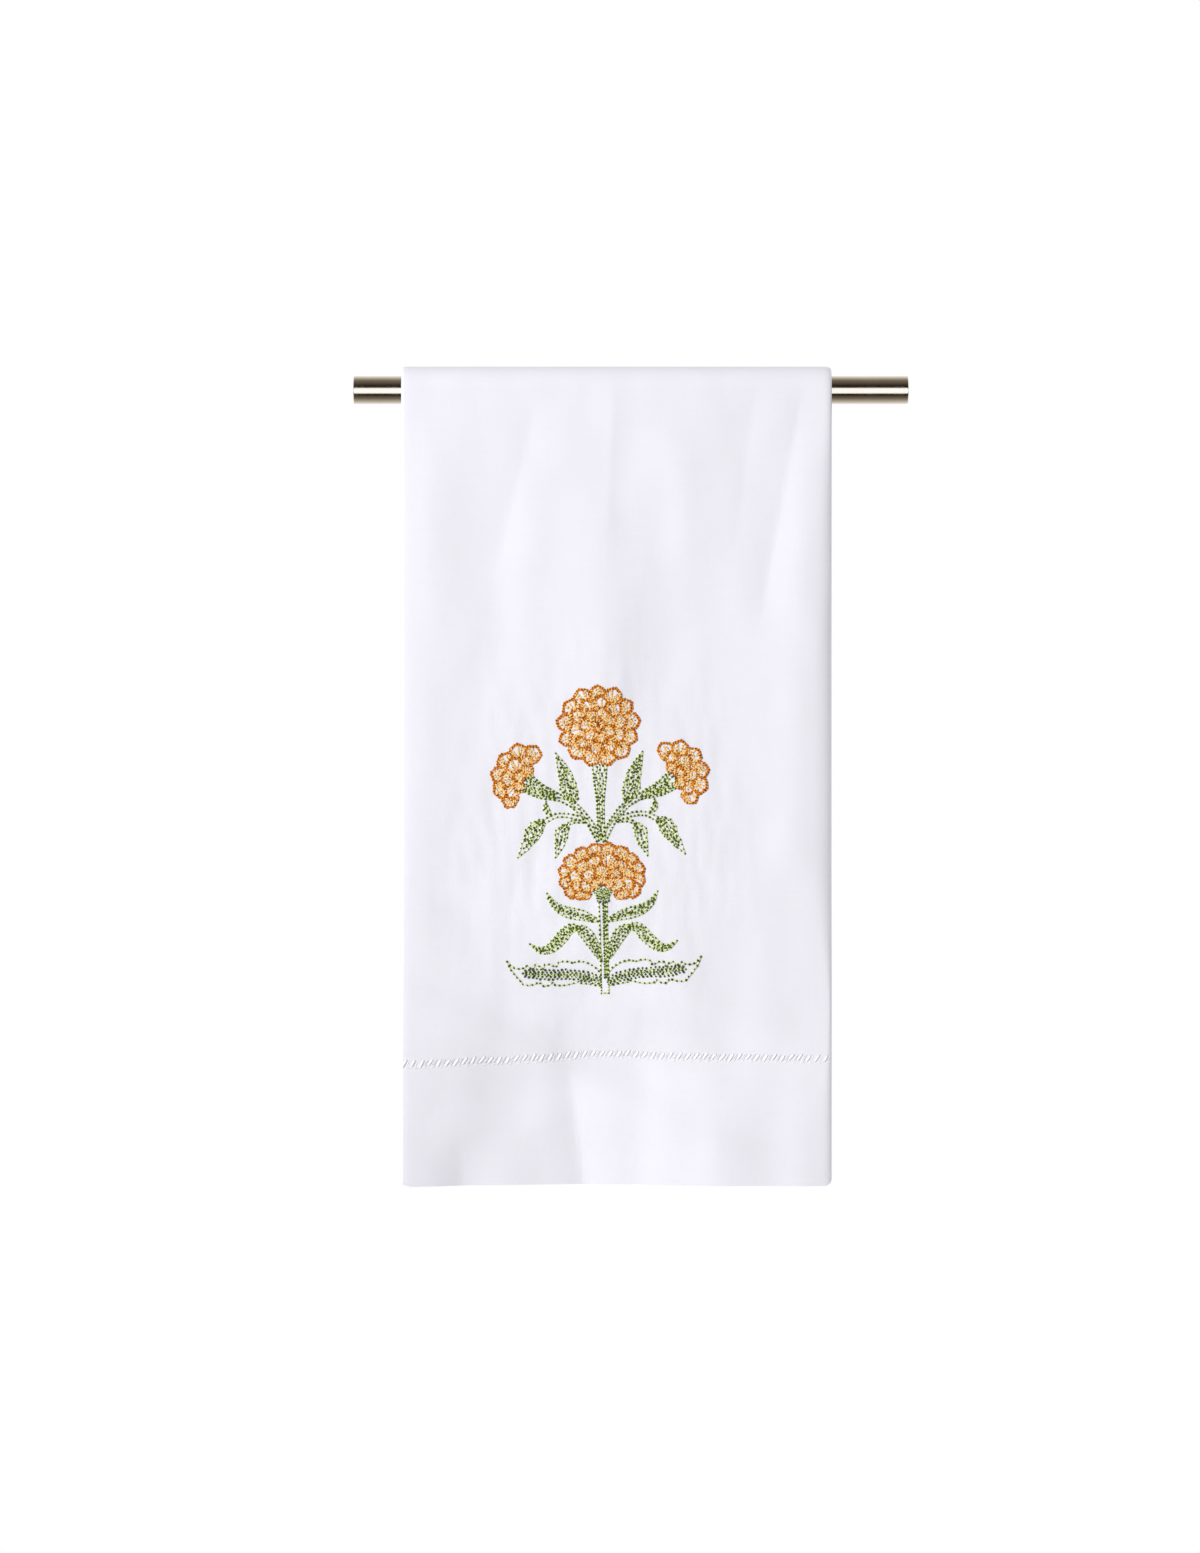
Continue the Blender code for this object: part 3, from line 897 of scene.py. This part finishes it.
def calyx():
    """A cup with a tuft of stitches that fans out from it, on top of the lower stem, and the
    outline of both."""
    foot = Vector(CALYX)
    height, length, width = CALYX_CUP
    middle = foot + Vector((0, height))
    cup = petal_outline(middle, pi / 2, length, width)
    stitches = run(cup, DENSE) + run([foot, middle], DENSE)
    outline = [foot]
    right, left = CALYX_FAN
    for ray in range(CALYX_RAYS):
        share = ray / (CALYX_RAYS - 1)
        lobe = 1 - CALYX_SCALLOP + CALYX_SCALLOP * cos(CALYX_LOBES * 2 * pi * share)
        tip = foot + heading(radians(right + (left - right) * share)) * CALYX_REACH * lobe
        outline.append(tip)
        stitches += run([foot.lerp(tip, CALYX_START), tip], TUFT)
    return stitches, outline


def petal_outline(middle, angle, length, width):
    """A round petal with a scalloped rim, from one side of its foot round to the other."""
    points = []
    for degrees in PETAL_RIM:
        turn = radians(degrees)
        lobe = abs(cos(PETAL_LOBES / 2 * turn))
        scallop = 1 + PETAL_SCALLOP * (lobe - SCALLOP_LEVEL)
        out = Vector((cos(turn) * length / 2, sin(turn) * width / 2)) * scallop
        out.rotate(Matrix.Rotation(angle, 2))
        points.append(middle + out)
    return points


def is_inside(point, outline):
    inside = False
    for start, end in zip(outline, outline[1:] + outline[:1]):
        if (start.y > point.y) != (end.y > point.y):
            crossing = start.x + (point.y - start.y) / (end.y - start.y) * (end.x - start.x)
            inside ^= point.x < crossing
    return inside


def petal(middle, angle, length, width):
    """One petal's rim, its orange stitches and its light ones."""
    orange = []
    for inwards, sewing in PETAL_LINES:
        line = petal_outline(middle, angle, length - 2 * inwards, width - 2 * inwards)
        orange += run(line, sewing)
    foot = middle - heading(angle) * length * PETAL_FOOT
    light = []
    for ray in range(PETAL_RAYS):
        turn = RAY_FAN * (2 * ray / (PETAL_RAYS - 1) - 1)
        fan = angle + turn + needle.uniform(-RAY_SWAY, RAY_SWAY)
        reach = length * needle.uniform(*RAY_REACH) * cos(fan - angle) ** 0.5
        start = foot + heading(fan) * reach * needle.uniform(*RAY_START)
        end = foot + heading(fan) * reach
        light += run([start, end], LIGHT_RAY)
        if ray % 2:
            orange += run([foot, start], ORANGE_RAY)
    rim = petal_outline(middle, angle, length, width)
    return rim, orange, [one for one in light if is_inside(one.point, rim)]


def bloom(rings, in_front=()):
    """Rings of petals; each petal is hidden where it passes behind one already drawn, or behind
    an outline in front of the bloom."""
    drawn = list(in_front)
    orange = []
    light = []
    for ring in rings:
        whole = ring.spread == 180
        for number in range(ring.count):
            steps = ring.count if whole else ring.count - 1
            turn = radians(-ring.spread + 2 * ring.spread * number / steps)
            out = Vector((cos(turn) * ring.out, sin(turn) * ring.across))
            out.rotate(Matrix.Rotation(radians(ring.heading), 2))
            middle = Vector(ring.centre) + out
            angle = atan2(out.y, out.x) + needle.uniform(-PETAL_SWAY, PETAL_SWAY)
            size = (side * needle.uniform(*PETAL_SIZES) for side in (ring.length, ring.width))
            rim, edge_stitches, light_stitches = petal(middle, angle, *size)
            near = [other for other, centre in drawn if (centre - middle).length < PETALS_APART]
            for stitches, kept in ((edge_stitches, orange), (light_stitches, light)):
                kept += [one for one in stitches
                         if not any(is_inside(one.point, other) for other in near)]
            drawn.append((rim, middle))
    return orange, light


def eye(centre):
    """The middle of the round bloom: dips of painted shade, with a ring of stitches round it."""
    middle = Vector(centre)
    ring = run(petal_outline(middle, 1.0, EYE, EYE), DENSE)
    return ring + [dip(middle + heading(turn) * EYE_DIPS_OUT, turn) for turn in EYE_DIPS]


def mirrored(stitches):
    return [one._replace(point=Vector((-one.point.x, one.point.y)), angle=pi - one.angle)
            for one in stitches]


def both_sides(draw, *shapes):
    """Draws at the right and, mirrored, at the left."""
    return draw(*shapes) + mirrored(draw(*shapes))


def on_towel(drawn):
    """Drawn stitches, set on the front."""
    stitches = []
    for one in drawn:
        point = one.point.copy()
        point.rotate(Matrix.Rotation(SPRAY_LEAN, 2))
        place = (FORK + point) * MM
        stitches.append(Stitch(place.x, place.y, one.angle + SPRAY_LEAN, one.length * MM,
                               one.width * MM, one.tint))
    return stitches


# ---- surfaces

def feed(tree, node, inputs):
    """Gives a node's inputs their values; each is a value, or a socket to link."""
    for name, value in inputs.items():
        if isinstance(value, bpy.types.NodeSocket):
            tree.links.new(value, node.inputs[name])
        else:
            node.inputs[name].default_value = value


def add_node(tree, kind, inputs=None, **settings):
    made = tree.nodes.new(kind)
    for name, value in settings.items():
        setattr(made, name, value)
    feed(tree, made, inputs or {})
    return made


def shading(tree, kind, inputs=None, output=0, **settings):
    """One output of a new shader node."""
    return add_node(tree, "ShaderNode" + kind, inputs, **settings).outputs[output]


def calculate(tree, operation, first, second=0.0, third=0.0):
    return shading(tree, "Math", {0: first, 1: second, 2: third}, operation=operation)


def mix(tree, factor, first, second):
    """A blend of two colours; each is a colour or a socket."""
    return shading(tree, "Mix", {0: factor, 6: first, 7: second}, 2, data_type="RGBA")


def ramp(tree, factor, stops):
    """A colour ramp, from pairs of a place between 0 and 1 and a colour."""
    made = add_node(tree, "ShaderNodeValToRGB", {"Fac": factor})
    elements = made.color_ramp.elements
    elements.remove(elements[-1])
    for number, (place, colour) in enumerate(stops):
        element = elements.new(place) if number else elements[0]
        element.position = place
        element.color = (*colour, 1)
    return made.outputs["Color"]


def speckle(tree, place, scale=1.0, detail=2.0, roughness=0.5):
    """Soft random values, spread over a place's coordinates."""
    return shading(tree, "TexNoise", {"Vector": place, "Scale": scale, "Detail": detail,
                                      "Roughness": roughness})


def bump(tree, height, strength, distance):
    return shading(tree, "Bump", {"Height": height, "Strength": strength,
                                  "Distance": distance * MM})


def new_material(name, roughness, metallic=0.0):
    made = bpy.data.materials.new(name)
    made.use_nodes = True
    tree = made.node_tree
    shader = tree.nodes["Principled BSDF"]
    feed(tree, shader, {"Roughness": roughness, "Metallic": metallic})
    return made, tree, shader


WEAVE_PITCH = 0.45 * MM
SLUB = 28  # length of a thicker piece of thread, in pitches
WEAVE_SHARE = 0.25  # of the weave's height, beside the slubs'
LINEN = ((0.3, (0.834, 0.829, 0.890)), (0.7, (0.852, 0.847, 0.908)))


def linen_material():
    """Plain-woven linen: threads over and under each other, some thicker than others."""
    made, tree, shader = new_material("white linen", 0.9)
    uv = shading(tree, "UVMap", uv_map="cut_cloth")
    place = add_node(tree, "ShaderNodeSeparateXYZ", {0: uv}).outputs
    over = []
    slubs = []
    for across, along in ("XY", "YX"):
        count = calculate(tree, "DIVIDE", place[across], WEAVE_PITCH)
        length = calculate(tree, "DIVIDE", place[along], WEAVE_PITCH * SLUB)
        over.append(calculate(tree, "SINE", calculate(tree, "MULTIPLY", count, pi)))
        streak = shading(tree, "CombineXYZ", {"X": count, "Y": length})
        slubs.append(speckle(tree, streak, 0.6, roughness=0.6))
    weave = calculate(tree, "MULTIPLY", *over)
    slub = calculate(tree, "ADD", *slubs)
    height = calculate(tree, "MULTIPLY_ADD", weave, WEAVE_SHARE, slub)
    colour = ramp(tree, calculate(tree, "MULTIPLY", slub, 0.5), LINEN)
    feed(tree, shader, {"Base Color": colour, "Normal": bump(tree, height, 0.2, 0.12)})
    return made


DIVE_SHADE = (6.0, 0.45)  # how late, and how much, painted shade darkens a thread towards its ends
PLY_TURNS = 11.0  # the twist along a stitch, and its slant across
PLY_SLANT = 2.5


def thread_material(name, stops):
    """Twisted, slightly shining thread.  Its tint picks its colour from the stops, and painted
    shade darkens it where its ends dive into the cloth."""
    made, tree, shader = new_material(name, 0.5)
    tint = shading(tree, "Attribute", output="Fac", attribute_name="tint")
    on_stitch = shading(tree, "Attribute", output="Vector", attribute_name="on_stitch")
    place = add_node(tree, "ShaderNodeSeparateXYZ", {0: on_stitch}).outputs
    end = calculate(tree, "ABSOLUTE", place["X"])
    late, dark = DIVE_SHADE
    # Painted shade: the thread darkens towards its first stop at its ends.
    dive = calculate(tree, "MULTIPLY", calculate(tree, "POWER", end, late), dark)
    shade = mix(tree, dive, ramp(tree, tint, stops), (*stops[0][1], 1))
    slant = calculate(tree, "MULTIPLY", place["Y"], PLY_SLANT)
    twist = calculate(tree, "MULTIPLY_ADD", place["X"], PLY_TURNS, slant)
    ply = calculate(tree, "SINE", twist)
    feed(tree, shader, {"Specular IOR Level": 0.25, "Base Color": shade,
                        "Normal": bump(tree, ply, 0.4, 0.06)})
    return made


# Thread colours by tint.  Stops below 0.5 are painted shade, for the dips and the ends that dive
# into the cloth; stops from 0.5 up are the thread's own colour.  White's stop at 0 is its
# painted shade.
GREEN = ((0.0, (0.04, 0.065, 0.006)), (0.3, (0.10, 0.155, 0.016)), (0.5, (0.52, 0.64, 0.16)),
         (1.0, (0.86, 0.93, 0.52)))
ORANGE = ((0.0, (0.16, 0.03, 0.001)), (0.3, (0.40, 0.08, 0.002)), (0.5, (0.76, 0.20, 0.006)),
          (1.0, (0.88, 0.34, 0.02)))
LIGHT = ((0.0, (0.30, 0.07, 0.002)), (0.3, (0.62, 0.21, 0.01)), (0.5, (0.95, 0.53, 0.14)),
         (1.0, (0.99, 0.77, 0.40)))
WHITE = ((0.0, (0.95, 0.95, 0.98)), (1.0, (0.99, 0.99, 1.0)))
NICKEL = ((0.3, (0.74, 0.70, 0.65)), (0.7, (0.80, 0.77, 0.73)))
PALE_FLOOR = ((0.3, (0.80, 0.80, 0.80)), (0.7, (0.84, 0.84, 0.84)))
RUBBED_ROUND = (900, 60, 60)  # streaks a metre, along the bar and across it
SMUDGES = 70.0  # a metre


def bar_material():
    """Warm polished nickel with faint rubbed streaks round the bar."""
    made, tree, shader = new_material("polished nickel", 0.12, 1.0)
    place = shading(tree, "TexCoord", output="Object")
    round_bar = shading(tree, "Mapping", {"Vector": place, "Scale": RUBBED_ROUND})
    streaks = speckle(tree, round_bar, detail=3.0)
    smudge = speckle(tree, place, SMUDGES)
    rubbed = calculate(tree, "MULTIPLY", streaks, smudge)
    roughness = shading(tree, "MapRange", {"Value": rubbed, "From Min": 0.1, "From Max": 0.45,
                                           "To Min": 0.07, "To Max": 0.2})
    feed(tree, shader, {"Roughness": roughness, "Base Color": ramp(tree, smudge, NICKEL)})
    return made


def floor_material():
    made, tree, shader = new_material("pale floor", 0.8)
    mottle = speckle(tree, shading(tree, "TexCoord", output="Object"), 3.0)
    feed(tree, shader, {"Base Color": ramp(tree, mottle, PALE_FLOOR)})
    return made


# ---- the bar

def build_bar(metal):
    along_x = Matrix.Translation((BAR_LENGTH / 2, 0, 0)) @ Matrix.Rotation(pi / 2, 4, "Y")
    bm = bmesh.new()
    bmesh.ops.create_cone(bm, cap_ends=True, segments=128, radius1=BAR_RADIUS,
                          radius2=BAR_RADIUS, depth=BAR_LENGTH, matrix=along_x)
    rims = [edge for edge in bm.edges if abs(edge.verts[0].co.x - edge.verts[1].co.x) < MM]
    bmesh.ops.bevel(bm, geom=rims, offset=BAR_CHAMFER, affect="EDGES", segments=4,
                    profile=0.5, material=-1)
    return add_piece("polished_bar", bm, metal, 35)


# ---- studio

FLOOR_DROP = 1.05
FLOOR_RADIUS = 3.4
CAMERA_DISTANCE = 2.0
VIEW_MIDDLE = Vector((-6.8, -160.4)) * MM  # from the towel's middle and the bar's axis
VIEW_HEIGHT = 641.4 * MM  # of the photograph's frame, at the towel's face
# Softboxes: their place from the towel's middle, their size and their power.
Softbox = namedtuple("Softbox", "place size power")
KEY = Softbox(Vector((-2.1, -1.9, 1.05)), 1.1, 69.5)
REAR = Softbox(Vector((2.4, 1.3, 0.8)), 0.9, 36)


def lay_floor():
    bm = bmesh.new()
    bmesh.ops.create_circle(bm, cap_ends=True, segments=96, radius=FLOOR_RADIUS,
                            matrix=Matrix.Translation((TOWEL_X, 0, -FLOOR_DROP)))
    floor = add_piece("floor", bm, floor_material())
    floor.visible_glossy = False


def aim(item, place, target):
    item.location = place
    item.rotation_euler = (target - place).to_track_quat("-Z", "Y").to_euler()


def set_camera():
    target = Vector((TOWEL_X + VIEW_MIDDLE.x, -OUTER_RADIUS, VIEW_MIDDLE.y))
    lens = bpy.data.cameras.new("camera")
    lens.sensor_width = 36
    lens.lens = lens.sensor_width * CAMERA_DISTANCE / VIEW_HEIGHT
    camera = add_object("camera", lens)
    aim(camera, target - Vector((0, CAMERA_DISTANCE, 0)), target)
    bpy.context.scene.camera = camera


def light_softbox(softbox):
    light = bpy.data.lights.new("softbox", "AREA")
    light.shape = "DISK"
    light.size = softbox.size
    light.energy = softbox.power
    light.color = (1.0, 0.99, 0.98)
    lamp = add_object("softbox", light)
    lamp.visible_glossy = False
    towel_middle = Vector((TOWEL_X, 0, -FRONT_DROP / 2))
    aim(lamp, softbox.place + towel_middle, towel_middle)


AMBIENT = ((0.347, 0.347, 0.357), (0.507, 0.507, 0.517))  # from below and from above

# What the polished bar mirrors, by the angle from a window a little below level in front, over
# the top or under, to level behind (as a share of half a turn).
WINDOW_SLOPE = 0.22
MIRRORED = ((0.0, (1.35, 1.33, 1.30)), (0.11, (1.3, 1.28, 1.25)), (0.15, (0.03, 0.017, 0.012)),
            (0.24, (0.03, 0.02, 0.014)), (0.33, (0.11, 0.09, 0.06)), (0.45, (0.2, 0.16, 0.11)),
            (0.6, (0.5, 0.44, 0.36)), (0.72, (0.8, 0.74, 0.68)), (1.0, (1.0, 1.0, 1.0)))
WHITE_BACKGROUND = (1, 1, 1, 1)


def set_surroundings():
    """White to the camera, soft and even on the cloth, and a dark room with a bright window
    band in the bar."""
    world = bpy.data.worlds.new("studio")
    bpy.context.scene.world = world
    world.use_nodes = True
    tree = world.node_tree
    way = shading(tree, "TexCoord", output="Generated")
    part = add_node(tree, "ShaderNodeSeparateXYZ", {0: way}).outputs
    forward = calculate(tree, "MULTIPLY", part["Y"], -1.0)
    above = calculate(tree, "MULTIPLY_ADD", forward, WINDOW_SLOPE, part["Z"])
    height = calculate(tree, "ABSOLUTE", above)
    turned = calculate(tree, "DIVIDE", calculate(tree, "ARCTAN2", height, forward), pi)
    rays = add_node(tree, "ShaderNodeLightPath").outputs
    upwards = calculate(tree, "MULTIPLY_ADD", part["Z"], 0.5, 0.5)
    soft = mix(tree, upwards, *((*colour, 1) for colour in AMBIENT))
    lit = mix(tree, rays["Is Glossy Ray"], soft, ramp(tree, turned, MIRRORED))
    seen = mix(tree, rays["Is Camera Ray"], lit, WHITE_BACKGROUND)
    feed(tree, tree.nodes["Background"], {"Color": seen})


# ---- putting it together

cloth = build_cloth(linen_material())
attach(cloth, "root")
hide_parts("towel")

bar = build_bar(bar_material())
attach(bar, "root")
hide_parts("bar")

tuft, tuft_outline = calyx()
stems = lower_stem() + tuft + both_sides(foot_leaf)
for shape in MIDDLE_STEMS:
    stems += stem(shape)
for shape in SIDE_STEMS:
    stems += both_sides(stem, shape)
leaves = []
for shape in LEAVES:
    leaves += both_sides(leaf, shape)
top_petals, top_rays = bloom(TOP_BLOOM)
top_petals += eye(TOP_BLOOM[0].centre)
dome_petals, dome_rays = bloom(DOME_BLOOM, [(tuft_outline, tuft_outline[CALYX_RAYS // 2])])
right_petals, right_rays = bloom(SIDE_BLOOM)
left_petals, left_rays = bloom(SIDE_BLOOM)
side_petals = right_petals + mirrored(left_petals)
rays = top_rays + dome_rays + right_rays + mirrored(left_rays)

white = thread_material("white thread", WHITE)
green = thread_material("green thread", GREEN)
orange = thread_material("orange thread", ORANGE)
light_orange = thread_material("light orange thread", LIGHT)
for name, side, stitches, thread, slot in (
        ("front_hemstitch", "front", hemstitch("front"), white, "white_thread"),
        ("back_hemstitch", "back", hemstitch("back"), white, "white_thread"),
        ("green_stems", "front", on_towel(stems), green, "green_thread"),
        ("green_leaves", "front", on_towel(leaves), green, "green_thread"),
        ("top_bloom", "front", on_towel(top_petals), orange, "orange_thread"),
        ("dome_bloom", "front", on_towel(dome_petals), orange, "orange_thread"),
        ("side_blooms", "front", on_towel(side_petals), orange, "orange_thread"),
        ("light_petal_rays", "front", on_towel(rays), light_orange, "orange_thread")):
    piece = sew(name, side, stitches, thread)
    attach(piece, "root")

lay_floor()
set_camera()
light_softbox(KEY)
light_softbox(REAR)
set_surroundings()
bpy.context.scene.view_settings.view_transform = "Standard"
